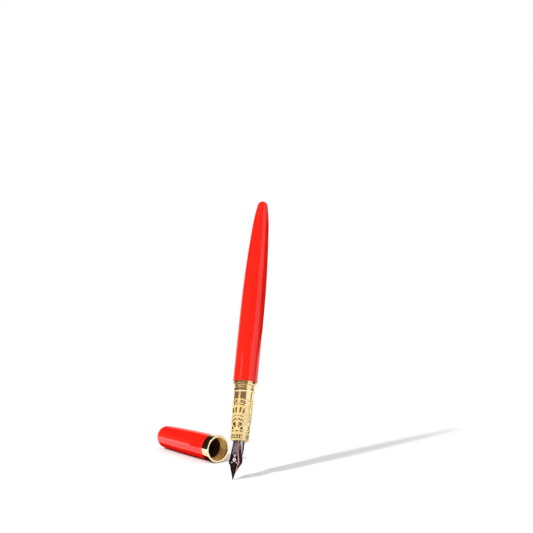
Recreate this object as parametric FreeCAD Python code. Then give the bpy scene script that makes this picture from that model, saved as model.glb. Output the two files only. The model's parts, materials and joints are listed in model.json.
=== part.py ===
import FreeCAD, Part
import math
import os

# Fountain pen with a barrel shaped like a paintbrush handle, and its cap lying beside it.
# Millimetres. The pen stands on its nib and leans, so that the nib's ball touches the origin; +Z is up.
# Each piece of the pen is first built upright, from the nib's point at z = NIB_POINT to the tail at
# z = BARREL_END, with the nib's face towards -Y. Each piece of the cap is first built with its mouth
# at z = 0 and its closed end up. pen_placement and cap_placement then give where they rest.

V = FreeCAD.Vector

# How pen and cap rest
LEAN = 19.3                # degrees between the pen's axis and the vertical
LEAN_HEADING = 34.8        # degrees from +X towards +Y: the way the tail leans
NIB_TURN = -12.0           # degrees the nib's face is turned out of the plane of the lean
CAP_MOUTH = V(16.5, 35.1, 0)   # the point of the floor below the middle of the cap's mouth
CAP_DROP = 0.69            # degrees the cap's axis falls towards its closed end

# Places along the pen
NIB_POINT = -0.3
LIP = 18.2                 # nib end of the grip
CORE_START = 20.05
GRIP_END = 41.6            # where the grip sleeve meets the thread collar
BEAD_AT = 42.4
COLLAR_END = 45.05
TRIM_START = 45.1
TRIM_END = 46.7
BARREL_START = 46.75
SPIGOT_END = 55.2
CONVERTER_START = 40.0
BARREL_END = 145.0

# Radii along the pen
NIB_ROOT_R = 3.05
HOUSING_R = 3.5
CORE_R = 4.0
SPIGOT_R = 4.6
COLLAR_R = 5.2
THREAD_R = 5.45
BEAD_R = 5.5
FLANGE_R = 6.2
MOUTH_R = 6.13             # barrel at its mouth
BARREL_R = 6.2             # barrel at its fullest
CHAMBER_R = 3.85           # bore of the grip core round the converter
SEAL_R = 4.4               # O-ring in its groove in the spigot
SEAL_WIRE_R = 0.2
SEAL_AT = 46.2

# Clearances
FIT = 0.02                 # between pieces that are fixed together
RUN = 0.08                 # between pieces that turn or slide on each other

# Nib
NIB_THICK = 0.35
NIB_END = 31.0
BALL_R = 0.42
TIP_RIDGE = 2.78           # height of the nib's face above the pen's axis, at the point
SLIT = 0.12
BREATHER_R = 0.55
BREATHER_AT = 9.0
FEED_START = 9.4
FEED_R = 2.8
FEED_BED_R = 2.6           # feed under the nib
FEED_BED_HALF = 70         # degrees each side of the face that the bed reaches

# Threads, all cut as rings
PITCH = 0.75

# Converter
MOUTHPIECE_R = 3.0
TUBE_R = 3.43
TUBE_BORE_R = 2.9
TUBE_START = 47.22
TUBE_END = 82.0
BAND_R = 3.7
BAND_START = 78.0
BAND_END = 90.0
SCREW_R = 1.25
SCREW_END = 85.5
KNOB_R = 3.4
KNOB_END = 104.0
NIPPLE_R = 1.5

# Cap, from its mouth
CAP_LENGTH = 55.4
RING_R = 7.0
RING_LENGTH = 5.1
INSERT_R = 5.75            # bore of the threaded insert
INSERT_END = 6.2
LAND_R = 5.45              # plain land behind the insert's thread
LINER_BORE_R = 5.38        # takes the grip
LINER_SEAT = 27.7          # where the grip's lip stops, on a cone


def turned(outline):
    """Solid turned about Z from a closed outline of (radius, height) points."""
    points = [V(radius, 0, height) for radius, height in outline]
    face = Part.Face(Part.makePolygon(points + points[:1]))
    return face.revolve(V(0, 0, 0), V(0, 0, 1), 360)


def turned_edges(edges):
    """Solid turned about Z from a closed loop of edges in the XZ plane."""
    face = Part.Face(Part.Wire(Part.__sortEdges__(edges)))
    return face.revolve(V(0, 0, 0), V(0, 0, 1), 360)


def line(start, end):
    """Straight outline edge between two (radius, height) points."""
    return Part.LineSegment(V(start[0], 0, start[1]), V(end[0], 0, end[1])).toShape()


def lines(points):
    """Open run of straight outline edges."""
    return [line(a, b) for a, b in zip(points, points[1:])]


def bow(start, middle, end):
    """Curved outline edge: the arc through three (radius, height) points."""
    return Part.Arc(*[V(radius, 0, height) for radius, height in (start, middle, end)]).toShape()


def dome(radius, start, end):
    """Rounded end: an outline arc, centred on the axis, from (radius, start) to the axis at height end."""
    rise = end - start
    sphere_r = (radius ** 2 + rise ** 2) / (2 * rise)
    centre = end - sphere_r
    angle = math.radians(90) - math.asin(radius / sphere_r) / 2
    middle = (sphere_r * math.cos(angle), centre + sphere_r * math.sin(angle))
    return bow((radius, start), middle, (0, end))


def ring(inner, outer, low, high):
    """Plain ring or tube."""
    return turned([(inner, low), (outer, low), (outer, high), (inner, high)])


def ridges(start, count, root, crest, pitch=PITCH):
    """Outline points of thread ridges cut as rings, from start upwards."""
    points = []
    for i in range(count):
        low = start + i * pitch
        points += [(root, low), (crest, low + 0.3 * pitch)]
        points += [(crest, low + 0.6 * pitch), (root, low + 0.9 * pitch)]
    return points


# Grip and nib ---------------------------------------------------------------------------------------

def nib_section(height, half_width, bend, ridge):
    """Closed section of the nib's curved sheet: an arc of radius bend whose crest is ridge off the axis."""
    reach = math.asin(half_width / bend)
    centre = -ridge + bend

    def point(radius, angle):
        return V(radius * math.sin(angle), centre - radius * math.cos(angle), height)

    outer = [point(bend, angle) for angle in (-reach, 0, reach)]
    inner = [point(bend - NIB_THICK, angle) for angle in (reach, 0, -reach)]
    return Part.Wire([
        Part.Arc(*outer).toShape(),
        Part.LineSegment(outer[2], inner[0]).toShape(),
        Part.Arc(*inner).toShape(),
        Part.LineSegment(inner[2], outer[0]).toShape(),
    ])


def nib_tipping():
    """Hard ball at the nib's point."""
    return Part.makeSphere(BALL_R, V(0, -TIP_RIDGE + NIB_THICK / 2, NIB_POINT + BALL_R))


def nib():
    """Curved steel sheet: pointed tines, shoulders, waist and straight root, with slit and breather."""
    stations = [
        (NIB_POINT + 0.5, 0.35, 2.4, TIP_RIDGE),
        (2.2, 0.95, 3.0, 2.80),
        (5.3, 2.28, 4.2, 2.87),
        (7.4, 3.55, 6.0, 2.93),
        (8.3, 3.92, 6.2, 2.95),
        (11.2, 3.65, 4.9, 3.02),
        (14.3, 3.30, 3.9, NIB_ROOT_R),
        (17.0, 2.92, 3.2, NIB_ROOT_R),
        (18.2, 2.80, NIB_ROOT_R, NIB_ROOT_R),
        (NIB_END, 2.80, NIB_ROOT_R, NIB_ROOT_R),
    ]
    sheet = Part.makeLoft([nib_section(*station) for station in stations], True, True)
    slit = Part.makeBox(SLIT, 4.0, BREATHER_AT + 1.0, V(-SLIT / 2, -4.0, -1.0))
    breather = Part.makeCylinder(BREATHER_R, 4.0, V(0, -4.0, BREATHER_AT), V(0, 1, 0))
    return sheet.cut(slit).cut(breather).cut(nib_tipping())


def feed():
    """Ink feed: blunt visible nose, collar with comb slots, ink channel, and a tail to the nipple."""
    body = turned([
        (0, FEED_START), (2.0, FEED_START), (2.6, 10.0), (FEED_R, 10.8), (FEED_R, CORE_START),
        (NIB_ROOT_R, CORE_START), (NIB_ROOT_R, NIB_END), (1.6, NIB_END), (1.6, 38.5), (0, 38.5),
    ])
    bed = Part.makeCylinder(4.0, NIB_END - FEED_START, V(0, 0, FEED_START), V(0, 0, 1), 2 * FEED_BED_HALF)
    bed.rotate(V(0, 0, 0), V(0, 0, 1), -90 - FEED_BED_HALF)
    bed = bed.cut(Part.makeCylinder(FEED_BED_R, NIB_END))
    channel = Part.makeBox(0.35, 1.2, 22.0, V(-0.175, -3.1, 9.0))
    body = body.cut(bed).cut(channel)
    for i in range(8):
        comb_slot = Part.makeBox(8.0, 3.0, 0.45, V(-4.0, 1.0, 21.0 + 1.2 * i))
        body = body.cut(comb_slot)
    return body


def nib_housing():
    """Collar that clamps nib and feed, screwed into the grip core."""
    outline = [(NIB_ROOT_R + FIT, 18.6), (HOUSING_R, 18.6)]
    outline += ridges(24.0, 9, HOUSING_R - 0.15, HOUSING_R)
    outline += [(HOUSING_R, 33.9), (1.65, 33.9), (1.65, 31.1), (NIB_ROOT_R + FIT, 31.1)]
    return turned(outline)


def grip_sleeve():
    """Gold grip: flared lip, slow taper up to the collar, thin metal wall."""
    outside = [(4.40, LIP), (4.53, LIP + 0.15), (4.55, LIP + 0.45), (4.50, LIP + 0.9)]
    bore = [(5.30, GRIP_END), (CORE_R + FIT, GRIP_END), (CORE_R + FIT, CORE_START - 0.05),
            (HOUSING_R + FIT, CORE_START - 0.05), (HOUSING_R + FIT, LIP), (4.40, LIP)]
    flank = bow((4.50, LIP + 0.9), (4.95, 29.2), (5.30, GRIP_END))
    return turned_edges(lines(outside) + [flank] + lines(bore))


def grip_core():
    """Plastic core: seat for the nib housing, ink nipple, and the threaded spigot for the barrel."""
    outline = [(CORE_R, CORE_START), (CORE_R, GRIP_END + 0.05), (SPIGOT_R, GRIP_END + 0.05)]
    room = SEAL_WIRE_R + FIT
    outline += [(SPIGOT_R, SEAL_AT - room), (SEAL_R - room, SEAL_AT - room)]
    outline += [(SEAL_R - room, SEAL_AT + room), (SPIGOT_R, SEAL_AT + room)]
    outline += [(SPIGOT_R, 48.3)]
    outline += ridges(48.4, 8, SPIGOT_R - 0.2, SPIGOT_R)
    outline += [
        (SPIGOT_R - 0.2, SPIGOT_END), (CHAMBER_R, SPIGOT_END), (CHAMBER_R, 45.9), (MOUTHPIECE_R + RUN, 45.5),
        (MOUTHPIECE_R + RUN, 39.0), (NIPPLE_R, 39.0),
        (NIPPLE_R, 44.5), (0.8, 44.5), (0.8, 38.6), (1.65, 38.6), (1.65, 34.0),
        (HOUSING_R + FIT, 34.0), (HOUSING_R + FIT, CORE_START),
    ]
    return turned(outline)


def thread_collar():
    """Gold collar above the grip: a bead, then the fine thread that the cap screws on."""
    outline = [(SPIGOT_R + FIT, GRIP_END + 0.02), (5.25, GRIP_END + 0.02)]
    for step in range(7):
        angle = math.pi * (step / 6 - 0.5)
        outline.append((BEAD_R - 0.25 + 0.25 * math.cos(angle), BEAD_AT + 0.65 * math.sin(angle)))
    outline += [(COLLAR_R, BEAD_AT + 0.7)]
    outline += ridges(43.3, 2, COLLAR_R, THREAD_R)
    outline += [(COLLAR_R, COLLAR_END), (SPIGOT_R + FIT, COLLAR_END)]
    return turned(outline)


# Barrel ---------------------------------------------------------------------------------------------

def trim_ring():
    """Thin wide gold flange with a bevel above it, loose on the spigot between grip and barrel."""
    return turned([
        (SPIGOT_R + RUN, TRIM_START), (6.0, TRIM_START), (6.15, 45.2), (FLANGE_R, 45.4),
        (FLANGE_R, 45.65), (6.1, 45.85), (5.95, 46.0), (5.9, TRIM_END), (SPIGOT_R + RUN, TRIM_END),
    ])


def barrel_seal():
    """O-ring in a groove of the spigot, inside the trim ring."""
    return Part.makeTorus(SEAL_R, SEAL_WIRE_R, V(0, 0, SEAL_AT), V(0, 0, 1))


def barrel_bushing():
    """Threaded brass bush in the barrel's mouth."""
    bore = SPIGOT_R + RUN
    return turned([(bore + 0.25, 48.05), (5.38, 48.05), (5.38, 56.0), (bore, 56.0), (bore, 48.35)])


def barrel_shell():
    """Lacquered barrel: nearly straight, then a long slow taper to a small rounded tail."""
    straight = lines([(MOUTH_R, BARREL_START), (BARREL_R, 68.0), (BARREL_R, 79.0)])
    taper = [bow((BARREL_R, 79.0), (5.75, 104.0), (4.42, 128.5)),
             bow((4.42, 128.5), (3.70, 136.2), (2.66, 142.8))]
    tail = dome(2.66, 142.8, BARREL_END)
    inside = lines([(0, BARREL_END), (0, 119.0), (1.0, 118.0), (3.8, 115.0), (4.0, 110.0),
                    (4.9, 92.0), (4.9, 56.05), (5.4, 56.05), (5.4, BARREL_START),
                    (MOUTH_R, BARREL_START)])
    return turned_edges(straight + taper + [tail] + inside)


# Converter ------------------------------------------------------------------------------------------

def converter_nozzle():
    """Mouthpiece that pushes on the ink nipple and closes the tube's lower end."""
    bore = NIPPLE_R + 0.03
    return turned([
        (bore, CONVERTER_START), (MOUTHPIECE_R, CONVERTER_START), (MOUTHPIECE_R, 46.0),
        (TUBE_R, 46.0), (TUBE_R, 47.2),
        (TUBE_BORE_R - FIT, 47.2), (TUBE_BORE_R - FIT, 49.0), (1.0, 49.0), (1.0, 46.5), (bore, 46.5),
    ])


def converter_tube():
    """Clear ink tube."""
    return ring(TUBE_BORE_R, TUBE_R, TUBE_START, TUBE_END)


def converter_band():
    """Metal ferrule over the tube's upper end; its inner lip keeps the knob's stem in."""
    return turned([
        (TUBE_R + FIT, BAND_START), (BAND_R, BAND_START + 0.2), (BAND_R, BAND_END - 0.2),
        (BAND_R - 0.2, BAND_END), (2.6, BAND_END), (2.6, 89.2), (TUBE_R + FIT, 89.2),
    ])


def rod_guide():
    """Plug inside the ferrule that keeps the screw straight."""
    return ring(SCREW_R + RUN, TUBE_R, TUBE_END + 0.05, 86.0)


def converter_knob():
    """Fluted turning knob with a stem that runs inside the ferrule."""
    knob = turned([
        (SCREW_R + RUN, 86.1), (3.35, 86.1), (3.35, 89.1), (2.5, 89.1), (2.5, 90.1), (KNOB_R, 90.1),
        (KNOB_R, KNOB_END), (2.2, KNOB_END), (2.2, 103.0), (SCREW_R + RUN, 103.0),
    ])
    for i in range(16):
        angle = 2 * math.pi * i / 16
        foot = V((KNOB_R + 0.2) * math.cos(angle), (KNOB_R + 0.2) * math.sin(angle), 91.5)
        knob = knob.cut(Part.makeCylinder(0.4, 11.0, foot))
    return knob


def knob_cap():
    """Plug that closes the knob's end."""
    return turned([
        (0, 103.05), (2.15, 103.05), (2.15, KNOB_END + 0.05), (3.2, KNOB_END + 0.05),
        (3.2, 104.6), (2.6, 105.2), (0, 105.2),
    ])


def piston_head():
    """Piston with two grooves for its seals."""
    outline = [(0, 49.3), (2.6, 49.3)]
    for low in (49.8, 51.6):
        outline += [(2.6, low), (2.25, low), (2.25, low + 0.8), (2.6, low + 0.8)]
    outline += [(2.6, 53.0), (0, 53.0)]
    return turned(outline)


def piston_seals():
    """Two sealing rings in the piston's grooves."""
    seals = [ring(2.27, TUBE_BORE_R - 0.03, low, low + 0.7) for low in (49.85, 51.65)]
    return Part.makeCompound(seals)


def piston_screw():
    """Threaded rod behind the piston."""
    outline = [(0, 53.02), (SCREW_R - 0.2, 53.02)]
    outline += ridges(55.0, 24, SCREW_R - 0.2, SCREW_R, pitch=1.25)
    outline += [(SCREW_R - 0.2, SCREW_END), (0, SCREW_END)]
    return turned(outline)


# Cap ------------------------------------------------------------------------------------------------

def cap_ring():
    """Gold ring round the mouth, with a rounded lip turned inwards."""
    return turned([
        (5.95, 0.15), (6.1, 0), (6.75, 0), (6.92, 0.1), (RING_R, 0.35), (RING_R, RING_LENGTH - 0.15),
        (6.9, RING_LENGTH), (6.62, RING_LENGTH), (6.62, 1.15), (5.95, 1.15),
    ])


def cap_thread_insert():
    """Gold bush inside the mouth, with the cap's fine thread and a narrower plain land."""
    outline = [(6.18, 1.2), (6.18, INSERT_END), (LAND_R, INSERT_END), (LAND_R, 4.8), (INSERT_R, 4.5)]
    outline += [(INSERT_R, 3.5)]
    for height in (3.2, 2.5, 1.8):
        outline += [(INSERT_R, height), (INSERT_R + 0.15, height - 0.15)]
        outline += [(INSERT_R + 0.15, height - 0.3), (INSERT_R, height - 0.45)]
    outline += [(INSERT_R, 1.2)]
    return turned(outline)


def cap_shell():
    """Lacquered cap: neck under the ring, slow swell and taper, rounded closed end, no clip."""
    neck = lines([(6.2, 1.2), (6.6, 1.2), (6.6, RING_LENGTH + 0.02), (6.69, RING_LENGTH + 0.02)])
    flank = bow((6.69, RING_LENGTH + 0.02), (6.70, 27.3), (6.18, 49.5))
    end = dome(6.18, 49.5, CAP_LENGTH)
    inside = lines([(0, CAP_LENGTH), (0, 48.5), (4.5, 48.5), (5.57, 47.5), (5.57, 17.65),
                    (6.02, 17.65), (6.02, INSERT_END + 0.05), (6.2, INSERT_END + 0.05), (6.2, 1.2)])
    return turned_edges(neck + [flank, end] + inside)


def cap_liner():
    """Dark inner cap: wide mouth for the grip, shoulder for its lip, closed chamber for the nib."""
    return turned([
        (LINER_BORE_R, INSERT_END + 0.08), (6.0, INSERT_END + 0.08), (6.0, 17.6), (5.55, 17.6),
        (5.55, 47.4), (4.5, 48.4), (0, 48.4), (0, 46.9), (3.6, 46.9), (4.3, 46.2),
        (4.3, LINER_SEAT + 0.1), (5.0, LINER_SEAT - 0.7), (5.0, 17.0), (LINER_BORE_R, 16.6),
    ])


# Placing and export ---------------------------------------------------------------------------------

def pen_placement():
    """Leans the upright pen and brings the bottom of its ball to the origin."""
    turn = FreeCAD.Rotation(V(0, 0, 1), LEAN_HEADING)
    turn = turn.multiply(FreeCAD.Rotation(V(0, 1, 0), LEAN))
    turn = turn.multiply(FreeCAD.Rotation(V(0, 0, 1), NIB_TURN - 90))
    ball_centre = turn.multVec(V(0, -TIP_RIDGE + NIB_THICK / 2, NIB_POINT + BALL_R))
    return FreeCAD.Placement(V(0, 0, BALL_R) - ball_centre, turn)


def cap_placement():
    """Lays the cap on its side, mouth towards -Y, resting on the rear edge of its ring."""
    drop = math.radians(CAP_DROP)
    height = RING_R * math.cos(drop) + (RING_LENGTH - 0.15) * math.sin(drop)
    turn = FreeCAD.Rotation(V(1, 0, 0), -90 - CAP_DROP)
    return FreeCAD.Placement(CAP_MOUTH + V(0, 0, height), turn)


PEN_PIECES = [
    nib, nib_tipping, feed, nib_housing, grip_sleeve, grip_core, thread_collar, trim_ring, barrel_seal,
    barrel_bushing, barrel_shell, converter_nozzle, converter_tube, converter_band, rod_guide,
    converter_knob, knob_cap, piston_head, piston_seals, piston_screw,
]
CAP_PIECES = [cap_ring, cap_thread_insert, cap_shell, cap_liner]


def export(pieces, placement):
    """Writes one STEP file per piece, named after the piece."""
    for piece in pieces:
        shape = piece()
        shape.Placement = placement
        node = piece.__name__
        print(node, len(shape.Solids), "solid", round(shape.Volume, 2), "mm3", shape.isValid())
        shape.exportStep("parts/" + node + ".step")


os.makedirs("parts", exist_ok=True)
export(PEN_PIECES, pen_placement())
export(CAP_PIECES, cap_placement())
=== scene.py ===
import json
import math

import bmesh
import bpy
import numpy as np
from mathutils import Matrix, Vector


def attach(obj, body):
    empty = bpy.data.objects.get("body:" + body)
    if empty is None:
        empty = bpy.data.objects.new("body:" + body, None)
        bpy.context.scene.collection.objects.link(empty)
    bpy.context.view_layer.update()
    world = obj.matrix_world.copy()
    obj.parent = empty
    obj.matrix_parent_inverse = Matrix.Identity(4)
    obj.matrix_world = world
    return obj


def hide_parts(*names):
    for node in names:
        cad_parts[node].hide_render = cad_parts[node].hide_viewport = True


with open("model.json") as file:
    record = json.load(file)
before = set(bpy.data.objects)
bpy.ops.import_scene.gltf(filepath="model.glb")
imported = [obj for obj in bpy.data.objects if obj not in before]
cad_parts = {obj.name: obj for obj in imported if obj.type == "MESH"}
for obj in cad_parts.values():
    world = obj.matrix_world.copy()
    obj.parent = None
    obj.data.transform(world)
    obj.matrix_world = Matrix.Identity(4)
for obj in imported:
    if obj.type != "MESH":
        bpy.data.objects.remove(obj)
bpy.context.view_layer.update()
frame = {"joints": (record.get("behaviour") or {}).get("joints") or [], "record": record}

# Shapes are written in millimetres, in the pen's own frame (z along the axis from the nib's point, the
# nib's face towards -y) or the cap's own frame (z from the mouth to the closed end). The two matrices
# below put them where the CAD pieces are.
MM = 0.001
JOINTS = {joint["name"]: joint for joint in frame["joints"]}
MOUNTS = {mount["name"]: mount for mount in frame["record"]["mounts"]}
TURN_MARK = 50.0      # mm along the pen where the barrel's joint stands
BORE_MARK = 10.7      # mm from the cap's mouth where its bore mount stands
NIB_TURN = math.radians(-102.0)    # turn of the pen's frame about its axis, from the way the pen leans
THREAD_PITCH = 0.75   # mm, of the threads on the cap, the collar, the core and the nib's housing
ROD_PITCH = 1.25      # mm, of the piston rod


def pen_matrix():
    """Pen frame to row frame."""
    joint = JOINTS["barrel_turn"]
    axis = Vector(joint["axis"])
    base = Vector(joint["pos_m"]) - axis * TURN_MARK * MM
    heading = Matrix.Rotation(math.atan2(axis.y, axis.x), 4, "Z")
    lean = Matrix.Rotation(math.acos(axis.z), 4, "Y")
    return Matrix.Translation(base) @ heading @ lean @ Matrix.Rotation(NIB_TURN, 4, "Z")


def cap_matrix():
    """Cap frame to row frame."""
    mount = MOUNTS["cap_bore"]
    outward = Vector(mount["axis"])
    mouth = Vector(mount["pos_m"]) + outward * BORE_MARK * MM
    drop = math.asin(outward.z)
    return Matrix.Translation(mouth) @ Matrix.Rotation(-math.pi / 2 - drop, 4, "X")


PEN = pen_matrix()
CAP = cap_matrix()


# Outlines -------------------------------------------------------------------------------------------

def arc(start, middle, end, count=24):
    """Points of the arc through three (radius, height) points, both ends included."""
    (ax, ay), (bx, by), (cx, cy) = start, middle, end
    d = 2 * (ax * (by - cy) + bx * (cy - ay) + cx * (ay - by))
    a2, b2, c2 = ax * ax + ay * ay, bx * bx + by * by, cx * cx + cy * cy
    ux = (a2 * (by - cy) + b2 * (cy - ay) + c2 * (ay - by)) / d
    uy = (a2 * (cx - bx) + b2 * (ax - cx) + c2 * (bx - ax)) / d
    radius = math.hypot(ax - ux, ay - uy)
    angles = np.unwrap([math.atan2(y - uy, x - ux) for x, y in (start, middle, end)])
    return [(ux + radius * math.cos(t), uy + radius * math.sin(t))
            for t in np.linspace(angles[0], angles[2], count)]


def dome(radius, start, end, count=14):
    """Points of a rounded end from (radius, start) to the axis at height end."""
    rise = end - start
    sphere_r = (radius ** 2 + rise ** 2) / (2 * rise)
    first = math.asin(min(1.0, radius / sphere_r))
    return [(sphere_r * math.sin(t), end - sphere_r + sphere_r * math.cos(t))
            for t in np.linspace(first, 0, count)]


def rounded(points, radius=0.06, count=4, closed=True):
    """Outline with every sharp corner replaced by a small arc."""
    result = []
    n = len(points)
    for i, point in enumerate(points):
        if not closed and i in (0, n - 1):
            result.append(point)
            continue
        here = np.array(point, float)
        back = np.array(points[i - 1], float) - here
        ahead = np.array(points[(i + 1) % n], float) - here
        back_len, ahead_len = np.linalg.norm(back), np.linalg.norm(ahead)
        cosine = float(back @ ahead) / (back_len * ahead_len)
        if cosine < -0.94 or radius <= 0:
            result.append(point)
            continue
        half = math.acos(max(-1.0, min(1.0, cosine))) / 2
        setback = min(radius / math.tan(half), 0.45 * back_len, 0.45 * ahead_len)
        a = here + back / back_len * setback
        b = here + ahead / ahead_len * setback
        for t in np.linspace(0, 1, count):
            blend = (1 - t) ** 2 * a + 2 * t * (1 - t) * here + t * t * b
            result.append(tuple(blend))
    return result


def dense(points, step):
    """Outline with its long stretches divided, for surfaces that carry a thread or a pattern."""
    result = []
    for a, b in zip(points, points[1:] + points[:1]):
        count = max(1, int(math.ceil(math.dist(a, b) / step)))
        result += [(a[0] + (b[0] - a[0]) * k / count, a[1] + (b[1] - a[1]) * k / count)
                   for k in range(count)]
    return result


# Meshes ---------------------------------------------------------------------------------------------

def grid_mesh(name, points, wrap_u=True, wrap_v=True):
    """Mesh over a grid of points in mm, of shape (u, v, 3); it may close on itself both ways."""
    nu, nv = points.shape[:2]
    index = np.arange(nu * nv).reshape(nu, nv)
    u_next = np.roll(index, -1, 0) if wrap_u else index[1:]
    here = index if wrap_u else index[:-1]
    if wrap_v:
        quads = np.stack([here, np.roll(here, -1, 1), np.roll(u_next, -1, 1), u_next], -1)
    else:
        quads = np.stack([here[:, :-1], here[:, 1:], u_next[:, 1:], u_next[:, :-1]], -1)
    mesh = bpy.data.meshes.new(name)
    mesh.from_pydata((points.reshape(-1, 3) * MM).tolist(), [], quads.reshape(-1, 4).tolist())
    return mesh


def clean(mesh, crease=35.0):
    """Welds coincident points, turns faces outwards and shades smoothly between sharp edges."""
    work = bmesh.new()
    work.from_mesh(mesh)
    bmesh.ops.remove_doubles(work, verts=work.verts, dist=1e-7)
    bmesh.ops.dissolve_degenerate(work, edges=work.edges, dist=1e-8)
    bmesh.ops.recalc_face_normals(work, faces=work.faces)
    work.to_mesh(mesh)
    work.free()
    mesh.shade_smooth()
    mesh.set_sharp_from_angle(angle=math.radians(crease))
    return mesh


def lathe(name, outline, segments=128, closed=True, ripple=None, paint=None, crease=35.0):
    """Turned mesh. ripple(angle, radius, height) may add to the radius, as a thread or fluting does.

    paint is (attribute, function): a value for each point from the same three arguments.
    """
    radius, height = np.array(outline, float).T
    angle = np.linspace(0, 2 * math.pi, segments, endpoint=False)[:, None]
    angle = np.broadcast_to(angle, (segments, len(outline)))
    radius = np.broadcast_to(radius, (segments, len(outline)))
    height = np.broadcast_to(height, (segments, len(outline)))
    turned = radius + ripple(angle, radius, height) if ripple else radius
    points = np.stack([turned * np.cos(angle), turned * np.sin(angle), height], -1)
    mesh = grid_mesh(name, points, True, closed)
    if paint:
        store(mesh, paint[0], paint[1](angle, radius, height))
    return clean(mesh, crease)


def store(mesh, attribute, values):
    """Keeps one number per point under a name that a material can read."""
    layer = mesh.attributes.new(attribute, "FLOAT", "POINT")
    layer.data.foreach_set("value", np.asarray(values, float).ravel())


def helix(low, high, pitch, depth, where):
    """Ripple of a right-hand thread between two heights, on the part of the outline that where picks."""
    def ripple(angle, radius, height):
        phase = (height / pitch - angle / (2 * math.pi)) % 1.0
        ridge = np.clip((1 - abs(2 * phase - 1) - 0.28) / 0.34, 0, 1)
        ridge = ridge * ridge * (3 - 2 * ridge)
        fade = np.clip((height - low) / (0.5 * pitch), 0, 1) * np.clip((high - height) / (0.5 * pitch), 0, 1)
        return depth * ridge * fade * where(radius)
    return ripple


def place(name, mesh, matrix, body, materials, replaces):
    """Makes a piece of a mesh, rides it on its body and hides the CAD parts that it stands for.

    Each point keeps its place in the pen's or cap's own frame, in mm, for the materials' patterns.
    """
    own = np.empty(3 * len(mesh.vertices))
    mesh.vertices.foreach_get("co", own)
    mesh.attributes.new("own_place", "FLOAT_VECTOR", "POINT").data.foreach_set("vector", own / MM)
    mesh.transform(matrix)
    piece = bpy.data.objects.new(name, mesh)
    bpy.context.scene.collection.objects.link(piece)
    for material in materials:
        mesh.materials.append(material)
    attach(piece, body)
    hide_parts(*replaces)


# Materials ------------------------------------------------------------------------------------------

class Shader:
    """A material's node tree with short calls for the nodes used here. Patterns are laid out in mm."""

    def __init__(self, name):
        self.material = bpy.data.materials.new(name)
        self.material.use_nodes = True
        self.tree = self.material.node_tree
        self.tree.nodes.clear()
        self.surface = self.node("ShaderNodeBsdfPrincipled")
        output = self.node("ShaderNodeOutputMaterial")
        self.link(self.surface.outputs["BSDF"], output.inputs["Surface"])
        self.position = self.attribute("own_place", "Vector")

    def node(self, kind, **inputs):
        node = self.tree.nodes.new(kind)
        for name, value in inputs.items():
            self.feed(node.inputs[name.replace("_", " ")], value)
        return node

    def link(self, out, into):
        self.tree.links.new(out, into)

    def feed(self, socket, value):
        if isinstance(value, bpy.types.NodeSocket):
            self.link(value, socket)
        else:
            socket.default_value = value

    def set(self, **inputs):
        for name, value in inputs.items():
            self.feed(self.surface.inputs[name.replace("_", " ")], value)

    def stretched(self, scale):
        """Place in the piece's own frame, with one unit for each 1 / scale mm along each axis."""
        mapping = self.node("ShaderNodeMapping", Vector=self.position)
        mapping.inputs["Scale"].default_value = scale
        return mapping.outputs["Vector"]

    def noise(self, scale, detail=3.0, roughness=0.5):
        """Noise with scale features per mm along x, y and z."""
        scale = scale if hasattr(scale, "__len__") else (scale,) * 3
        node = self.node("ShaderNodeTexNoise", Vector=self.stretched(scale), Scale=1.0,
                         Detail=detail, Roughness=roughness)
        return node.outputs["Fac"]

    def remap(self, value, low, high, to_low=0.0, to_high=1.0):
        node = self.node("ShaderNodeMapRange", Value=value)
        for name, number in (("From Min", low), ("From Max", high), ("To Min", to_low), ("To Max", to_high)):
            self.feed(node.inputs[name], number)
        return node.outputs["Result"]

    def mix(self, factor, a, b):
        node = self.node("ShaderNodeMix")
        node.data_type = "RGBA"
        self.feed(node.inputs[0], factor)
        self.feed(node.inputs[6], a)
        self.feed(node.inputs[7], b)
        return node.outputs[2]

    def maths(self, operation, a, b=0.0):
        node = self.node("ShaderNodeMath")
        node.operation = operation
        self.feed(node.inputs[0], a)
        self.feed(node.inputs[1], b)
        return node.outputs[0]

    def attribute(self, name, output="Fac"):
        node = self.node("ShaderNodeAttribute")
        node.attribute_name = name
        return node.outputs[output]

    def bump(self, height, distance_mm):
        node = self.node("ShaderNodeBump", Height=height, Strength=1.0, Distance=distance_mm * MM)
        self.set(Normal=node.outputs["Normal"])


def rgb(red, green, blue):
    return (red, green, blue, 1.0)


def red_lacquer():
    """Deep glossy lacquer: slow colour drift, faint flow waves and hairline scuffs."""
    s = Shader("red_lacquer")
    drift = s.remap(s.noise(0.08, 2.0), 0.3, 0.7)
    colour = s.mix(drift, rgb(0.68, 0.008, 0.004), rgb(0.73, 0.011, 0.005))
    scuffs = s.remap(s.noise((6.0, 6.0, 0.35), 4.0, 0.6), 0.62, 0.78)
    s.set(Base_Color=colour, Specular_IOR_Level=0.0, IOR=1.5, Coat_Weight=1.0, Coat_Roughness=0.03,
          Coat_IOR=1.52, Roughness=s.remap(scuffs, 0, 1, 0.30, 0.45))
    s.bump(s.noise(0.45, 2.0), 0.004)
    return s.material


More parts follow.
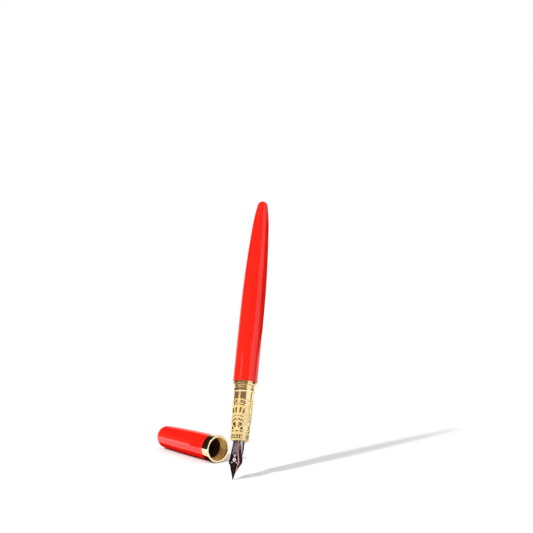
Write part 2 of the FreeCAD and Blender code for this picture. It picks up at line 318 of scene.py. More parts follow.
def gold_plate():
    """Plated gold: polished with fine turning lines and handling haze; the satin ornament is paler."""
    s = Shader("gold_plate")
    satin = s.attribute("satin")
    drift = s.remap(s.noise(0.35, 3.0), 0.3, 0.7)
    polished = s.mix(drift, rgb(0.98, 0.84, 0.54), rgb(0.95, 0.78, 0.46))
    frosted = s.mix(s.noise(5.0, 3.0), rgb(0.86, 0.68, 0.30), rgb(0.75, 0.56, 0.21))
    haze = s.remap(s.noise(1.6, 4.0, 0.6), 0.35, 0.75, 0.07, 0.15)
    grain = s.maths("MULTIPLY", s.noise(16.0, 2.0), satin)
    turning = s.noise((0.6, 0.6, 14.0), 2.0)
    s.set(Base_Color=s.mix(satin, polished, frosted), Metallic=s.remap(satin, 0, 1, 1.0, 0.45),
          Roughness=s.maths("ADD", haze, s.maths("MULTIPLY", satin, 0.34)))
    s.bump(s.maths("ADD", s.maths("MULTIPLY", turning, 0.12), grain), 0.012)
    return s.material


def bore_gold():
    """Gold wash inside the cap's mouth, left from the tool: rings, darker streaks, no polish."""
    s = Shader("bore_gold")
    streaks = s.remap(s.noise((0.3, 0.3, 7.0), 3.0), 0.35, 0.7)
    s.set(Base_Color=s.mix(streaks, rgb(0.93, 0.62, 0.22), rgb(0.72, 0.42, 0.11)), Metallic=0.55,
          Roughness=s.remap(streaks, 0, 1, 0.24, 0.38))
    s.bump(s.noise((0.2, 0.2, 12.0), 2.0), 0.006)
    return s.material


def bare_brass():
    """Turned brass: visible tool rings, a little tarnish."""
    s = Shader("bare_brass")
    tarnish = s.remap(s.noise(0.5, 4.0, 0.6), 0.4, 0.7)
    s.set(Base_Color=s.mix(tarnish, rgb(0.78, 0.57, 0.25), rgb(0.55, 0.37, 0.15)), Metallic=1.0,
          Roughness=s.remap(tarnish, 0, 1, 0.24, 0.40))
    s.bump(s.noise((0.2, 0.2, 9.0), 2.0), 0.010)
    return s.material


def nib_steel():
    """Mirror-polished steel; engraved lines are matt, near white on some and mauve on the others."""
    s = Shader("nib_steel")
    cut = s.attribute("engraved")
    grain = s.noise((9.0, 9.0, 1.2), 3.0)
    mauve = s.mix(grain, rgb(0.30, 0.23, 0.27), rgb(0.17, 0.13, 0.16))
    etched = s.mix(s.remap(cut, 0.6, 0.95), mauve, rgb(0.85, 0.80, 0.82))
    s.set(Base_Color=s.mix(s.remap(cut, 0, 0.5), rgb(0.56, 0.545, 0.55), etched),
          Metallic=s.remap(cut, 0, 0.5, 1.0, 0.35),
          Roughness=s.maths("ADD", s.remap(grain, 0.3, 0.7, 0.05, 0.09), s.maths("MULTIPLY", cut, 0.42)))
    s.bump(grain, 0.0008)
    return s.material


def tipping():
    """Ground hard alloy of the writing ball."""
    s = Shader("tipping_alloy")
    grain = s.noise(14.0, 3.0)
    s.set(Base_Color=s.mix(grain, rgb(0.72, 0.72, 0.74), rgb(0.55, 0.55, 0.58)), Metallic=1.0,
          Roughness=s.remap(grain, 0.3, 0.7, 0.18, 0.32))
    return s.material


def plastic(name, base, rough, texture=6.0, depth=0.006, haze=0.12):
    """Moulded plastic: fine moulded skin, uneven sheen."""
    s = Shader(name)
    skin = s.noise(texture, 3.0)
    patches = s.remap(s.noise(0.7, 3.0), 0.35, 0.7)
    lighter = rgb(*[min(1.0, c * 1.7 + 0.004) for c in base])
    s.set(Base_Color=s.mix(patches, rgb(*base), lighter), Specular_IOR_Level=0.5,
          Roughness=s.remap(patches, 0, 1, rough, rough + haze))
    s.bump(skin, depth)
    return s.material


def black_metal():
    """Blackened and polished metal of the feed: drawing lines along it, uneven darkening."""
    s = Shader("black_metal")
    drawn = s.noise((5.0, 5.0, 0.4), 3.0)
    bed = s.attribute("bed")
    polished = s.mix(drawn, rgb(0.95, 0.94, 0.96), rgb(0.82, 0.81, 0.84))
    s.set(Base_Color=s.mix(bed, polished, rgb(0.012, 0.010, 0.012)), Metallic=s.maths("SUBTRACT", 1.0, bed),
          Roughness=s.maths("ADD", s.remap(drawn, 0.3, 0.7, 0.03, 0.07), s.maths("MULTIPLY", bed, 0.4)))
    s.bump(drawn, 0.0015)
    return s.material


def clear_plastic():
    """Clear ink tube: slight blue-grey tint, faint drawn lines along its length."""
    s = Shader("clear_plastic")
    lines = s.noise((5.0, 5.0, 0.15), 2.0)
    s.set(Base_Color=s.mix(lines, rgb(0.93, 0.96, 0.97), rgb(0.86, 0.91, 0.93)), IOR=1.49,
          Transmission_Weight=1.0, Roughness=s.remap(lines, 0.3, 0.7, 0.02, 0.07))
    s.bump(lines, 0.003)
    return s.material


def chromed():
    """Polished chromed ferrule with light handling marks."""
    s = Shader("chromed_band")
    marks = s.remap(s.noise((3.0, 3.0, 0.8), 4.0, 0.6), 0.5, 0.8)
    s.set(Base_Color=s.mix(marks, rgb(0.80, 0.81, 0.83), rgb(0.68, 0.69, 0.71)), Metallic=1.0,
          Roughness=s.remap(marks, 0, 1, 0.06, 0.22))
    s.bump(s.noise((0.4, 0.4, 10.0), 2.0), 0.001)
    return s.material


RED = red_lacquer()
GOLD = gold_plate()
BRASS = bare_brass()
BORE_GOLD = bore_gold()
STEEL = nib_steel()
TIPPING = tipping()
FEED_BLACK = black_metal()
CORE_BLACK = plastic("core_black", (0.016, 0.016, 0.018), 0.34)
LINER_DARK = plastic("liner_dark", (0.060, 0.024, 0.012), 0.30)
KNOB_BLACK = plastic("knob_black", (0.014, 0.014, 0.017), 0.14, haze=0.08)
RUBBER = plastic("seal_rubber", (0.018, 0.018, 0.018), 0.62, texture=9.0, depth=0.010)
CLEAR = clear_plastic()
CHROME = chromed()


# Patterns -------------------------------------------------------------------------------------------

def inside(distance, soft=0.08):
    """1 where the signed distance is negative, 0 where it is positive, with a soft step between."""
    step = np.clip(0.5 - distance / soft, 0, 1)
    return step * step * (3 - 2 * step)


def block(x, y, half_width, half_height):
    return inside(np.maximum(abs(x) - half_width, abs(y) - half_height))


def sector(rho, phi, low, high, centre, half):
    """Window between two radii and two angles from a fan's stem."""
    sides = (abs(phi - centre) - half) * rho
    return inside(np.maximum(np.maximum(low - rho, rho - high), sides))


ORNAMENT_AT = math.radians(-84.0)      # direction of the middle of the grip's first fan
KEYS_AT = 19.85        # mm along the pen: the row of square frames,
BLOCKS_AT = 22.45      # the row of blocks,
FAN_AT = 22.5          # the centre of the fans,
SCROLLS_AT = 36.6      # the scrolls,
SPIKE_TOP = 40.5       # and the spike's point
ARCH_R = 12.35         # mm from a fan's centre to its arch
SCROLL_IN = 1.62       # mm from the middle of a field to a scroll's centre


def repeated(angle, radius, count):
    """Distance round the grip from the middle of the nearest of count equal fields."""
    field = 2 * math.pi / count
    return ((angle - ORNAMENT_AT + field / 2) % field - field / 2) * radius


def grip_satin(angle, radius, height):
    """Frosted ornament of the grip: 1 on the frosted figures, 0 on the polished ground behind them.

    Four fans stand round the grip, the first over the nib's face. Each has petals, arcs of dashes and
    dots, four slots and an arch, and above the arch a spike between two scrolls.
    """
    x = abs(repeated(angle, radius, 4))
    edge = math.pi / 4 * radius - x
    rise = height - FAN_AT
    rho = np.hypot(x, rise)
    phi = np.arctan2(x, rise)

    key = repeated(angle, radius, 12)
    key_frame = block(key, height - KEYS_AT, 0.98, 0.95) - block(key, height - KEYS_AT, 0.40, 0.36)
    holes = [
        key_frame,
        inside(abs(height - 21.35) - 0.09),
        block(key, height - BLOCKS_AT, 0.84, 0.36),
        sector(rho, phi, 1.9, 4.5, 0.46, 0.25),
        sector(rho, phi, 1.9, 4.1, 1.12, 0.19),
    ]
    holes += [sector(rho, phi, 5.10, 6.10, centre, 0.094) for centre in (0.14, 0.37, 0.60)]
    holes += [sector(rho, phi, 6.95, 7.70, centre, 0.048) for centre in (0.09, 0.22, 0.35, 0.48)]
    holes += [sector(rho, phi, 8.7, 11.4, centre, 0.052) for centre in (0.115, 0.300)]
    lozenge = edge / 0.40 + abs((height - 23.0) % 2.0 - 1.0) / 0.70 - 1.0
    holes += [inside(lozenge * 0.3) * inside(23.2 - height) * inside(height - 31.0)]
    below = 1 - np.max(holes, 0)

    curl = np.hypot(x - SCROLL_IN, height - SCROLLS_AT)
    bearing = np.arctan2(height - SCROLLS_AT, x - SCROLL_IN)
    hook = inside(abs(curl - 1.14) - 0.24) * inside((0.55 - abs(bearing + 0.35)) * curl)
    outer = np.hypot(edge, height - 36.9)
    spike = inside(x - 0.55 * np.clip((SPIKE_TOP - height) / 2.8, 0, 1)) * inside(36.4 - height)
    figures = [
        hook,
        inside(np.hypot(x - 1.98, height - 36.5) - 0.30),
        spike,
        block(x, height - 35.2, 0.28, 2.0),
        inside(abs(outer - 0.75) - 0.20),
        inside(abs(np.hypot(edge, height - 34.3) - 1.25) - 0.15),
    ]
    above = np.max(figures, 0)
    arch = inside(rho - ARCH_R, 0.1)
    return above + (below - above) * arch


GRIP_RELIEF = 0.11     # mm from the polished ground up to the frosted figures


def grip_ripple(angle, radius, height):
    flank = (radius > 4.42) & (height > 18.85) & (height < 41.3)
    return -GRIP_RELIEF * (1 - grip_satin(angle, radius, height)) * flank


BREATHER_AT = 9.0
SPIRAL_AT = 14.1
SPIRAL_STEP = 0.52     # mm between the spiral's turns


def nib_engraving(x, height):
    """Matt engraving: 1 on the breather's ring, a small ring and two dots, 0.55 on a spiral with leaves."""
    breather = abs(np.hypot(x, height - BREATHER_AT) - 0.74) - 0.13
    small_ring = abs(np.hypot(x + 0.05, height - 10.95) - 0.38) - 0.12
    small_hook = np.maximum(abs(np.hypot(x - 0.62, height - 11.2) - 0.48) - 0.10, height - 11.4)
    dots = np.hypot(abs(x) - 1.25, height - 7.7) - 0.27
    around = np.arctan2(x, height - SPIRAL_AT)
    away = np.hypot(x, height - SPIRAL_AT)
    turns = away / SPIRAL_STEP - around / (2 * math.pi)
    spiral = np.maximum(abs(turns % 1.0 - 0.5) * SPIRAL_STEP - 0.14, away - 1.62)
    leaves = [abs(np.hypot(abs(x) - 1.1, height - y) - r) - 0.12 for y, r in ((16.2, 0.62), (12.2, 0.5))]
    bright = [inside(line, 0.06) for line in (breather, small_ring, dots)]
    dim = [inside(line, 0.06) for line in [spiral, small_hook] + leaves]
    return np.maximum(np.max(bright, 0), 0.55 * np.max(dim, 0))


# Pen: nib end ---------------------------------------------------------------------------------------

def smooth_through(where, places, values):
    """Smooth curve through points, with no overshoot between them."""
    places, values = np.array(places, float), np.array(values, float)
    slope = np.diff(values) / np.diff(places)
    left, right = np.append(slope[0], slope), np.append(slope, slope[-1])
    tangent = np.where(left * right > 0, 2 * left * right / np.where(left + right == 0, 1, left + right), 0)
    i = np.clip(np.searchsorted(places, where) - 1, 0, len(places) - 2)
    span = places[i + 1] - places[i]
    t = np.clip((where - places[i]) / span, 0, 1)
    return ((2 * t ** 3 - 3 * t ** 2 + 1) * values[i] + (t ** 3 - 2 * t ** 2 + t) * span * tangent[i]
            + (3 * t ** 2 - 2 * t ** 3) * values[i + 1] + (t ** 3 - t ** 2) * span * tangent[i + 1])


NIB_THICK = 0.33
NIB_POINT = -0.3
SLIT = 0.07
BREATHER_R = 0.55
NIB_STATIONS = [       # height, half width, radius of the bend, height of the crest above the axis
    (0.2, 0.34, 2.4, 2.77), (2.2, 0.93, 3.0, 2.79), (5.3, 2.46, 4.6, 2.86), (7.2, 3.54, 6.0, 2.92),
    (8.2, 3.86, 6.2, 2.94), (9.2, 3.80, 5.8, 2.97), (11.2, 3.50, 4.9, 3.01), (14.3, 3.02, 3.9, 3.04),
    (17.0, 2.74, 3.2, 3.04), (19.0, 2.66, 3.04, 3.04), (30.98, 2.66, 3.04, 3.04),
]


def nib_half(side):
    """One tine and its half of the body, as a closed skin over a grid of rows along and columns across."""
    round_hole = BREATHER_AT - BREATHER_R * np.cos(np.linspace(0, math.pi, 33))
    rows = np.unique(np.concatenate([np.linspace(0.2, 7.0, 90), np.linspace(7.0, 18.3, 340),
                                     np.linspace(18.4, 30.98, 12), round_hole]).round(4))
    heights, widths, bends, crests = zip(*NIB_STATIONS)
    width, bend, crest = [smooth_through(rows, heights, values)[:, None]
                          for values in (widths, bends, crests)]
    s = rows[:, None]
    hole = np.sqrt(np.clip(BREATHER_R ** 2 - (s - BREATHER_AT) ** 2, 0, None))
    gap = np.maximum(np.where(s < BREATHER_AT, SLIT / 2, 0), hole)
    share = np.linspace(0, 1, 72)[None, :]
    share = np.where(share > 0.9, 0.9 + 0.1 * np.sin((share - 0.9) / 0.1 * math.pi / 2), share)
    x = gap + (width - gap) * share
    lean = np.arcsin(np.clip(x / bend, -1, 1))
    rolled = 0.10 * (1 - np.sqrt(1 - np.clip((x - width + 0.12) / 0.12, 0, 1) ** 2))
    cut = nib_engraving(side * x, s)
    outer_r = bend - rolled - 0.035 * cut
    inner_r = bend - NIB_THICK + rolled
    outer = np.stack([side * outer_r * np.sin(lean), bend - crest - outer_r * np.cos(lean), s + 0 * x], -1)
    inner = np.stack([side * inner_r * np.sin(lean), bend - crest - inner_r * np.cos(lean), s + 0 * x], -1)
    skin = np.concatenate([outer, inner[:, ::-1]], 1)
    tone = np.concatenate([cut, 0 * cut], 1)
    ends = [np.broadcast_to(skin[i].mean(0), skin[i].shape)[None] for i in (0, -1)]
    skin = np.concatenate([ends[0], skin, ends[1]], 0)
    tone = np.concatenate([tone[:1], tone, tone[-1:]], 0)
    mesh = grid_mesh("nib_half", skin, False, True)
    store(mesh, "engraved", tone)
    return mesh


def nib_mesh():
    """Both halves welded above the breather, with the slit open below it."""
    work = bmesh.new()
    for side in (-1, 1):
        work.from_mesh(nib_half(side))
    seam = [face for face in work.faces if all(abs(vert.co.x) < 1e-8 for vert in face.verts)]
    bmesh.ops.delete(work, geom=seam, context="FACES")
    mesh = bpy.data.meshes.new("nib_engraved")
    work.to_mesh(mesh)
    work.free()
    return clean(mesh, 40)


place("nib_engraved", nib_mesh(), PEN, "grip", [STEEL], ["nib"])

BALL_R = 0.415
BALL_AT = 0.42         # mm from the nib's point to the ball's centre
TIP_RIDGE = 2.78       # height of the nib's crest above the axis, at the point
NIB_SHEET = 0.35       # the whole thickness of the nib, whose middle carries the ball
ball = [(BALL_R * math.sin(t), BALL_AT - BALL_R * math.cos(t)) for t in np.linspace(0.35, math.pi, 18)]
ball_mesh = lathe("point_ball", [(0, ball[0][1])] + ball, 40, closed=False)
BALL = PEN @ Matrix.Translation((0, (-TIP_RIDGE + NIB_SHEET / 2) * MM, NIB_POINT * MM))
place("point_ball", ball_mesh, BALL, "grip", [TIPPING], ["nib_tipping"])


FEED_BED_R = 2.59
FEED_BED_HALF = 1.19   # radians each side of the nib's face
CLEAR_OF_FEED_R = 4.0


def feed_shelf(angle):
    """Radius of the feed where it carries the nib, and beyond its own radius everywhere else."""
    turn = (angle + math.pi / 2 + math.pi) % (2 * math.pi) - math.pi
    return np.where(abs(turn) < FEED_BED_HALF, FEED_BED_R, CLEAR_OF_FEED_R)


def feed_ripple(angle, radius, height):
    return np.minimum(feed_shelf(angle) - radius, 0) * (height < 30.99)


def feed_bed(angle, radius, height):
    """1 on the rough bed under the nib, 0 on the polished rest."""
    return (feed_shelf(angle) < CLEAR_OF_FEED_R) + 0 * height


feed_outline = rounded([(2.0, 9.42), (2.59, 10.02), (2.79, 10.82), (2.79, 20.06), (3.04, 20.06),
                        (3.04, 30.98), (1.59, 30.98), (1.59, 38.48), (0.02, 38.48), (0.02, 9.42)], 0.3, 6)
feed_mesh = lathe("feed_body", dense(feed_outline, 1.0), 240, ripple=feed_ripple, paint=("bed", feed_bed))
place("feed_body", feed_mesh, PEN, "grip", [FEED_BLACK], ["feed"])

grip_flank = arc((4.49, 19.1), (4.94, 29.2), (5.29, 41.58), 340)
grip_bore = [(4.03, 41.58), (4.03, 20.0), (3.53, 20.0), (3.53, 18.22)]
grip_lip = rounded([(3.53, 18.22), (4.38, 18.22), (4.52, 18.36), (4.54, 18.65), (4.49, 19.1)], 0.1, 5, False)
grip_mesh = lathe("grip_relief", grip_lip[1:-1] + grip_flank + grip_bore, 540, ripple=grip_ripple,
                  paint=("satin", grip_satin), crease=50)
place("grip_relief", grip_mesh, PEN, "grip", [GOLD], ["grip_sleeve"])

bead = [(5.24 + 0.25 * math.cos(t), 42.4 + 0.62 * math.sin(t)) for t in np.linspace(-1.5, 1.5, 13)]
collar_outline = [(4.63, 41.63), (5.2, 41.63)] + bead
collar_outline += [(5.19, height) for height in np.arange(43.15, 44.95, 0.05)]
collar_outline += [(5.17, 45.03), (4.63, 45.03)]
collar_mesh = lathe("collar_gold", collar_outline, 160, crease=50,
                    ripple=helix(43.2, 44.9, THREAD_PITCH, 0.24, lambda r: (r > 5.15) & (r < 5.2)))
place("collar_gold", collar_mesh, PEN, "grip", [GOLD], ["thread_collar"])

CORE_THREAD_R = 4.39
core_outline = [(4.59, 41.67), (4.59, 45.98), (4.19, 45.98), (4.19, 46.42), (4.59, 46.42), (4.59, 48.3)]
core_outline += [(CORE_THREAD_R, 48.4)] + [(CORE_THREAD_R, z) for z in np.arange(48.5, 54.6, 0.06)]
core_outline += [(CORE_THREAD_R, 55.1), (4.3, 55.19), (3.86, 55.19), (3.86, 45.9), (3.09, 45.5),
                 (3.09, 39.0), (1.49, 39.0), (1.49, 44.4),
                 (1.4, 44.49), (0.81, 44.49), (0.81, 38.6), (1.66, 38.6), (1.66, 34.0), (3.53, 34.0),
                 (3.53, 20.06), (3.99, 20.06), (3.99, 41.67)]
core_mesh = lathe("core_threaded", core_outline, 128,
                  ripple=helix(48.4, 54.5, THREAD_PITCH, 0.2, lambda r: abs(r - CORE_THREAD_R) < 0.01))
place("core_threaded", core_mesh, PEN, "grip", [CORE_BLACK], ["grip_core"])


# Pen: barrel ----------------------------------------------------------------------------------------

trim_outline = rounded([(4.69, 45.11), (5.98, 45.11), (6.14, 45.2), (6.19, 45.4), (6.19, 45.65),
                        (6.09, 45.86), (5.94, 46.0), (5.89, 46.69), (4.69, 46.69)], 0.06, 4)
place("trim_ring_gold", lathe("trim_ring_gold", trim_outline, 160), PEN, "trim", [GOLD],
      ["trim_ring"])

BORE_END = 119.1
barrel_outside = arc((6.19, 79.0), (5.74, 104.0), (4.41, 128.5), 40)
barrel_outside += arc((4.41, 128.5), (3.69, 136.2), (2.64, 142.8), 24)[1:]
barrel_outside += dome(2.64, 142.8, 144.98, 18)[1:]
barrel_mouth = rounded([(5.41, 46.76), (6.12, 46.76), (6.19, 68.0)], 0.09, 5, False)[1:-1]
barrel_inside = [(0, 119.01), (1.01, 118.01), (3.81, 115.01), (4.01, 110.01), (4.91, 92.01), (4.91, 56.06),
                 (5.41, 56.06), (5.41, 46.8)]
barrel_outline = barrel_mouth + [(6.19, 68.0), (6.19, 74.0)] + barrel_outside + barrel_inside
barrel_mesh = lathe("barrel_lacquer", barrel_outline, 192)
for face in barrel_mesh.polygons:
    faces_the_axis = face.normal.x * face.center.x + face.normal.y * face.center.y < 0
    face.material_index = int(faces_the_axis and face.center.z < BORE_END * MM)
place("barrel_lacquer", barrel_mesh, PEN, "barrel", [RED, BRASS], ["barrel_shell"])


# Pen: converter -------------------------------------------------------------------------------------

def flutes(angle, radius, height):
    """Sixteen finger flutes round the turning knob."""
    ends = np.clip((height - 91.5) / 0.4, 0, 1) * np.clip((102.5 - height) / 0.4, 0, 1)
    hollow = np.clip((np.cos(16 * angle) + 0.25) / 1.25, 0, 1) ** 0.6
    return -0.30 * hollow * np.sqrt(ends) * (radius > 3.3)


knob_side = [(3.39, z) for z in np.concatenate([[90.25, 91.3], np.linspace(91.5, 92.0, 8),
                                               np.linspace(102.0, 102.5, 8), [102.7, 103.85]])]
knob_outline = [(1.34, 86.12), (3.34, 86.12), (3.34, 89.08), (2.51, 89.08), (2.51, 90.12), (3.25, 90.12)]
knob_outline += knob_side + [(3.27, 103.98), (2.21, 103.98), (2.21, 103.0), (1.34, 103.0)]
place("knob_fluted", lathe("knob_fluted", knob_outline, 256, ripple=flutes), PEN, "knob",
      [KNOB_BLACK], ["converter_knob"])

band_outline = [(3.46, 78.02), (3.66, 78.2), (3.69, 78.35), (3.69, 79.0), (3.61, 79.1), (3.61, 79.25)]
band_outline += [(3.69, 79.35), (3.69, 88.6), (3.61, 88.7), (3.61, 88.85), (3.69, 88.95), (3.69, 89.75)]
band_outline += [(3.62, 89.9), (3.5, 89.98), (2.61, 89.98), (2.61, 89.21), (3.46, 89.21)]
place("ferrule_chromed", lathe("ferrule_chromed", band_outline), PEN, "converter", [CHROME],
      ["converter_band"])

tube_outline = rounded([(2.91, 47.23), (3.42, 47.23), (3.42, 81.98), (2.91, 81.98)], 0.08, 4)
place("ink_tube", lathe("ink_tube", tube_outline), PEN, "converter", [CLEAR],
      ["converter_tube"])

rod_outline = [(0.02, 53.03), (1.04, 53.03)] + [(1.04, z) for z in np.arange(54.8, 85.1, 0.1)]
rod_outline += [(1.04, 85.4), (0.95, 85.48), (0.02, 85.48)]
rod_mesh = lathe("piston_rod", rod_outline, 48, ripple=helix(54.9, 85.1, ROD_PITCH, 0.2, lambda r: r > 1.0))
place("piston_rod", rod_mesh, PEN, "piston", [CORE_BLACK], ["piston_screw"])


# Cap ------------------------------------------------------------------------------------------------

cap_ring_outline = rounded([(5.96, 0.16), (6.1, 0.01), (6.75, 0.01), (6.92, 0.1), (6.99, 0.35), (6.99, 4.95),
                            (6.9, 5.09), (6.63, 5.09), (6.63, 1.14), (5.96, 1.14)], 0.12, 5)
place("cap_ring_gold", lathe("cap_ring_gold", cap_ring_outline, 192), CAP, "cap", [GOLD],
      ["cap_ring"])

BUSH_THREAD_R = 5.76
bush_outline = [(6.17, 1.21), (6.17, 6.19), (5.50, 6.19), (5.46, 6.15), (5.46, 5.65), (5.54, 5.6)]
bush_outline += [(5.54, 5.45), (5.46, 5.4), (5.46, 4.82), (BUSH_THREAD_R, 4.52)]
bush_outline += [(BUSH_THREAD_R, z) for z in np.arange(4.45, 1.3, -0.05)]
bush_outline += [(BUSH_THREAD_R, 1.26), (5.81, 1.21)]
bush_mesh = lathe("cap_bush_gold", bush_outline, 192,
                  ripple=helix(1.25, 4.3, THREAD_PITCH, 0.15, lambda r: abs(r - BUSH_THREAD_R) < 0.01))
place("cap_bush_gold", bush_mesh, CAP, "cap", [BORE_GOLD], ["cap_thread_insert"])

cap_side = arc((6.68, 5.14), (6.69, 27.3), (6.17, 49.5), 44) + dome(6.17, 49.5, 55.38, 26)[1:]
cap_inside = [(0, 48.52), (4.5, 48.52), (5.58, 47.5), (5.58, 17.66), (6.03, 17.66), (6.03, 6.26)]
cap_inside += [(6.21, 6.26), (6.21, 1.21), (6.59, 1.21), (6.59, 5.12)]
place("cap_lacquer", lathe("cap_lacquer", cap_side + cap_inside, 192), CAP, "cap", [RED],
      ["cap_shell"])

liner_outline = rounded([(5.39, 6.29), (5.99, 6.29), (5.99, 17.59), (5.54, 17.59), (5.54, 47.39),
                         (4.49, 48.39), (0.02, 48.39), (0.02, 46.91), (3.61, 46.91), (4.31, 46.21),
                         (4.31, 27.8), (5.01, 27.0), (5.01, 17.0), (5.39, 16.6)], 0.1, 4)
place("cap_inner", lathe("cap_inner", liner_outline, 160), CAP, "cap", [LINER_DARK],
      ["cap_liner"])


# Inner pieces ---------------------------------------------------------------------------------------

def turned_piece(name, outline, body, material, node, radius=0.06):
    """A turned piece of the pen with all its corners broken."""
    place(name, lathe(name, rounded(outline, radius, 3), 96), PEN, body, [material], [node])


housing_side = [(3.49, 18.62), (3.49, 23.9)]
for groove in range(9):
    foot = 24.0 + THREAD_PITCH * groove
    housing_side += [(3.35, foot), (3.49, foot + 0.22), (3.49, foot + 0.45), (3.35, foot + 0.67)]
turned_piece("feed_collar", [(3.07, 18.62)] + housing_side + [(3.49, 30.9), (3.49, 33.88), (1.67, 33.88),
             (1.67, 31.12), (3.07, 31.12)], "grip", CORE_BLACK, "nib_housing", 0.04)
SEAL_R, SEAL_AT, SEAL_WIRE_R = 4.4, 46.2, 0.19
seal_wire = [(SEAL_R + SEAL_WIRE_R * math.cos(t), SEAL_AT + SEAL_WIRE_R * math.sin(t))
             for t in np.linspace(0, 2 * math.pi, 20)[:-1]]
place("spigot_seal", lathe("spigot_seal", seal_wire, 96), PEN, "seal", [RUBBER],
      ["barrel_seal"])
turned_piece("brass_bush", [(4.93, 48.06), (5.37, 48.06), (5.37, 55.99), (4.69, 55.99), (4.69, 48.35)],
             "barrel", BRASS, "barrel_bushing")
turned_piece("mouthpiece", [(1.54, 40.01), (2.99, 40.01), (2.99, 46.01), (3.42, 46.01), (3.42, 47.19),
                            (2.87, 47.19), (2.87, 48.99), (1.01, 48.99), (1.01, 46.51), (1.54, 46.51)],
             "converter", CLEAR, "converter_nozzle")
turned_piece("screw_guide", [(1.34, 82.06), (3.42, 82.06), (3.42, 85.99), (1.34, 85.99)],
             "converter", CORE_BLACK, "rod_guide")
turned_piece("knob_plug", [(0.02, 103.06), (2.14, 103.06), (2.14, 104.06), (3.19, 104.06), (3.19, 104.6),
                           (2.6, 105.19), (0.02, 105.19)],
             "knob", KNOB_BLACK, "knob_cap", 0.2)
piston_side = [(2.59, 49.31)]
for groove in (49.8, 51.6):
    piston_side += [(2.59, groove), (2.26, groove), (2.26, groove + 0.8), (2.59, groove + 0.8)]
turned_piece("piston", [(0.02, 49.31)] + piston_side + [(2.59, 52.99), (0.02, 52.99)],
             "piston", CORE_BLACK, "piston_head", 0.03)


def seal_pair():
    """The piston's two sealing rings, each with a crowned face."""
    pair = bmesh.new()
    for low in (49.86, 51.66):
        crown = arc((2.72, low), (2.86, low + 0.34), (2.72, low + 0.68), 9)
        pair.from_mesh(lathe("seal", [(2.28, low)] + crown + [(2.28, low + 0.68)], 96))
    mesh = bpy.data.meshes.new("piston_rings")
    pair.to_mesh(mesh)
    pair.free()
    return clean(mesh)


place("piston_rings", seal_pair(), PEN, "piston", [RUBBER], ["piston_seals"])


# Stage ----------------------------------------------------------------------------------------------

# The camera, in metres from the nib's point and degrees; LENS is in mm on a 36 mm wide sensor.
VIEW_AZIMUTH = math.radians(-38.6)
VIEW_DISTANCE = 0.3806
VIEW_SIDE = 0.01641
VIEW_HEIGHT = 0.08984
VIEW_PITCH = math.radians(1.58)
VIEW_ROLL = math.radians(0.33)
LENS = 54.27

forward = Vector((-math.sin(VIEW_AZIMUTH), math.cos(VIEW_AZIMUTH), 0))
right = Vector((math.cos(VIEW_AZIMUTH), math.sin(VIEW_AZIMUTH), 0))


def add_camera():
    data = bpy.data.cameras.new("camera")
    data.lens = LENS
    data.sensor_width = 36.0
    data.clip_start = 0.01
    camera = bpy.data.objects.new("camera", data)
    camera.location = right * VIEW_SIDE - forward * VIEW_DISTANCE + Vector((0, 0, VIEW_HEIGHT))
    camera.rotation_euler = (math.pi / 2 + VIEW_PITCH, VIEW_ROLL, VIEW_AZIMUTH)
    bpy.context.scene.collection.objects.link(camera)
    bpy.context.scene.camera = camera


def flat_material(name, colour, emission):
    """One even colour: glowing, or plain and matt."""
    material = bpy.data.materials.new(name)
    material.use_nodes = True
    tree = material.node_tree
    tree.nodes.clear()
    output = tree.nodes.new("ShaderNodeOutputMaterial")
    shader = tree.nodes.new("ShaderNodeEmission" if emission else "ShaderNodeBsdfDiffuse")
    shader.inputs["Color"].default_value = rgb(*colour)
    tree.links.new(shader.outputs[0], output.inputs["Surface"])
    return material


def level_patch(name, x_range, y_range, height, material, reflected_only):
    """Level rectangle of the studio, in metres."""
    (west, east), (south, north) = x_range, y_range
    mesh = bpy.data.meshes.new(name)
    corners = [(west, south, height), (east, south, height), (east, north, height), (west, north, height)]
    mesh.from_pydata(corners, [], [(0, 1, 2, 3)])
    mesh.materials.append(material)
    patch = bpy.data.objects.new(name, mesh)
    bpy.context.scene.collection.objects.link(patch)
    if reflected_only:
        glossy_only(patch)


FLOOR_WHITE = (0.70, 0.70, 0.70)   # the lit floor itself, then a brighter copy of it that only reflections see, a painted reflection
FLOOR_GLOW = (1.8, 1.7, 1.75)
# Painted shadow: colour of the dark sheet under the cap that only reflections see
CAP_SHADE = (0.05, 0.004, 0.004)
# Colours of the flags and of the small lamp that the reflections show
DARK = (0.030, 0.014, 0.014)
DARK_RED = (0.10, 0.010, 0.008)
PINK = (1.3, 0.62, 0.62)
PLUM = (0.07, 0.020, 0.06)
BROWN = (0.26, 0.16, 0.10)
LAMP = (50, 50, 50)
SUN_STRENGTH = 3.4
SUN_SPREAD = math.radians(5)
SUN_HEIGHT = math.radians(40)
SHADOW_TURN = math.radians(36)     # from the camera's right towards its back
CARD_DISTANCE = 1.5    # metres


def add_card(name, left, right_edge, low, high, colour, distance=CARD_DISTANCE, centre_height=0.0):
    """Studio flag seen only in reflections, as a patch of a sphere round the object.

    left and right_edge are degrees to the right of the way to the camera, low and high degrees above
    the centre of the sphere.
    """
    across = np.radians(np.linspace(left, right_edge, 24))[:, None]
    up = np.radians(np.linspace(low, high, 16))[None, :]
    sideways = np.sin(across) * np.cos(up)
    towards = np.cos(across) * np.cos(up)
    points = np.stack([right.x * sideways - forward.x * towards, right.y * sideways - forward.y * towards,
                       np.sin(up) + 0 * across], -1) * distance / MM
    points[..., 2] += centre_height / MM
    mesh = grid_mesh(name, points, False, False)
    mesh.materials.append(flat_material(name, colour, True))
    card = bpy.data.objects.new(name, mesh)
    bpy.context.scene.collection.objects.link(card)
    glossy_only(card)


def glossy_only(piece):
    """Keeps a piece of the studio for reflections alone."""
    piece.visible_camera = False
    piece.visible_diffuse = False
    piece.visible_transmission = False
    piece.visible_shadow = False


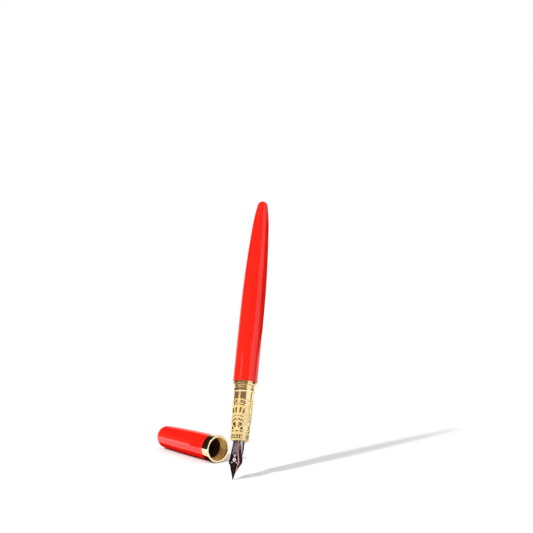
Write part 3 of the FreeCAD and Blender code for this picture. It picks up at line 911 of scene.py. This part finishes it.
def add_floor():
    """Matt pale floor, a brighter copy of it that only reflections see (painted reflection in lacquer and
    gold), and a dark sheet below the cap that only reflections see (painted shadow).
    """
    level_patch("floor", (-4.0, 4.0), (-4.0, 4.0), -0.0001, flat_material("floor_white", FLOOR_WHITE, False),
                False)
    # Painted reflection: a glowing patch over the floor, brighter than the floor itself, that only
    # reflections see.
    level_patch("floor_glow", (-0.8, -0.008), (-0.3, 0.6), 0.0003,
                flat_material("floor_glow", FLOOR_GLOW, True), True)
    # Painted shadow: a dark sheet under the cap that only reflections see, darkening the cap's underside.
    level_patch("cap_shade", (0.0085, 0.0170), (0.036, 0.093), 0.0002,
                flat_material("cap_shade", CAP_SHADE, True), True)


def add_lights():
    """Even white surroundings and one soft sun."""
    world = bpy.data.worlds.new("studio")
    world.use_nodes = True
    world.node_tree.nodes["Background"].inputs["Color"].default_value = (1, 1, 1, 1)
    world.node_tree.nodes["Background"].inputs["Strength"].default_value = 1.0
    bpy.context.scene.world = world
    sun = bpy.data.lights.new("key", "SUN")
    sun.energy = SUN_STRENGTH
    sun.angle = SUN_SPREAD
    key = bpy.data.objects.new("key", sun)
    key.visible_glossy = False
    shadow_way = right * math.cos(SHADOW_TURN) + forward * math.sin(SHADOW_TURN)
    beam = shadow_way * math.cos(SUN_HEIGHT) - Vector((0, 0, math.sin(SUN_HEIGHT)))
    key.rotation_euler = beam.to_track_quat("-Z", "Y").to_euler()
    bpy.context.scene.collection.objects.link(key)


def add_cards():
    """Flags that darken or tint the reflections: a far ring, then a small one that only the nib sees."""
    add_card("flag_low", -128, 31, 0.3, 16, BROWN)
    add_card("flag_cap", -128, -103, 16, 62, DARK)
    add_card("flag_behind_cap", -157, -128, 14, 62, DARK)
    cap_edge = ((-160, 3, 0.12), (-163, 3, 0.26), (-166, 3, 0.45), (-170, 4, 0.70))
    for step, (start, span, grey) in enumerate(cap_edge):
        add_card("flag_cap_edge_%d" % step, start, start + span, 14, 62, (grey, grey, grey))
    add_card("flag_left", -103, -62, 16, 62, BROWN)
    add_card("flag_upper", -62, -38, 28.6, 62, BROWN)
    add_card("flag_front", -38, 31, 16, 62, BROWN)
    add_card("flag_front_right", 31, 42, 29, 62, BROWN)
    add_card("flag_right_high", 88, 107, 13, 40, DARK_RED)
    add_card("flag_top", -180, 180, 62, 90, BROWN)
    add_card("flag_back", 95, 203, 40, 62, BROWN)
    add_card("flag_right", 107, 165, -7.5, 30, DARK_RED, distance=0.17, centre_height=0.08)
    add_card("flag_right_edge", 88, 107, 0.3, 12, BROWN)
    add_card("small_light", -98, -74, 52.2, 52.5, LAMP, 1.4)
    near = {"distance": 0.08, "centre_height": 0.010}
    add_card("nib_flag_far_left", -135, -60, -6, 23, DARK, **near)
    add_card("nib_flag_left", -60, -22, 0, 33, DARK, **near)
    add_card("nib_flag_pink", -22, -9, 13, 35, PINK, **near)
    add_card("nib_flag_under_pink", -22, -9, 0, 13, DARK, **near)
    add_card("nib_flag_right", -9, 31, 0, 33, PLUM, **near)
    add_card("feed_flag", 74, 150, -6, 6, DARK, **near)


add_camera()
add_floor()
add_lights()
add_cards()
bpy.context.scene.view_settings.view_transform = "Standard"
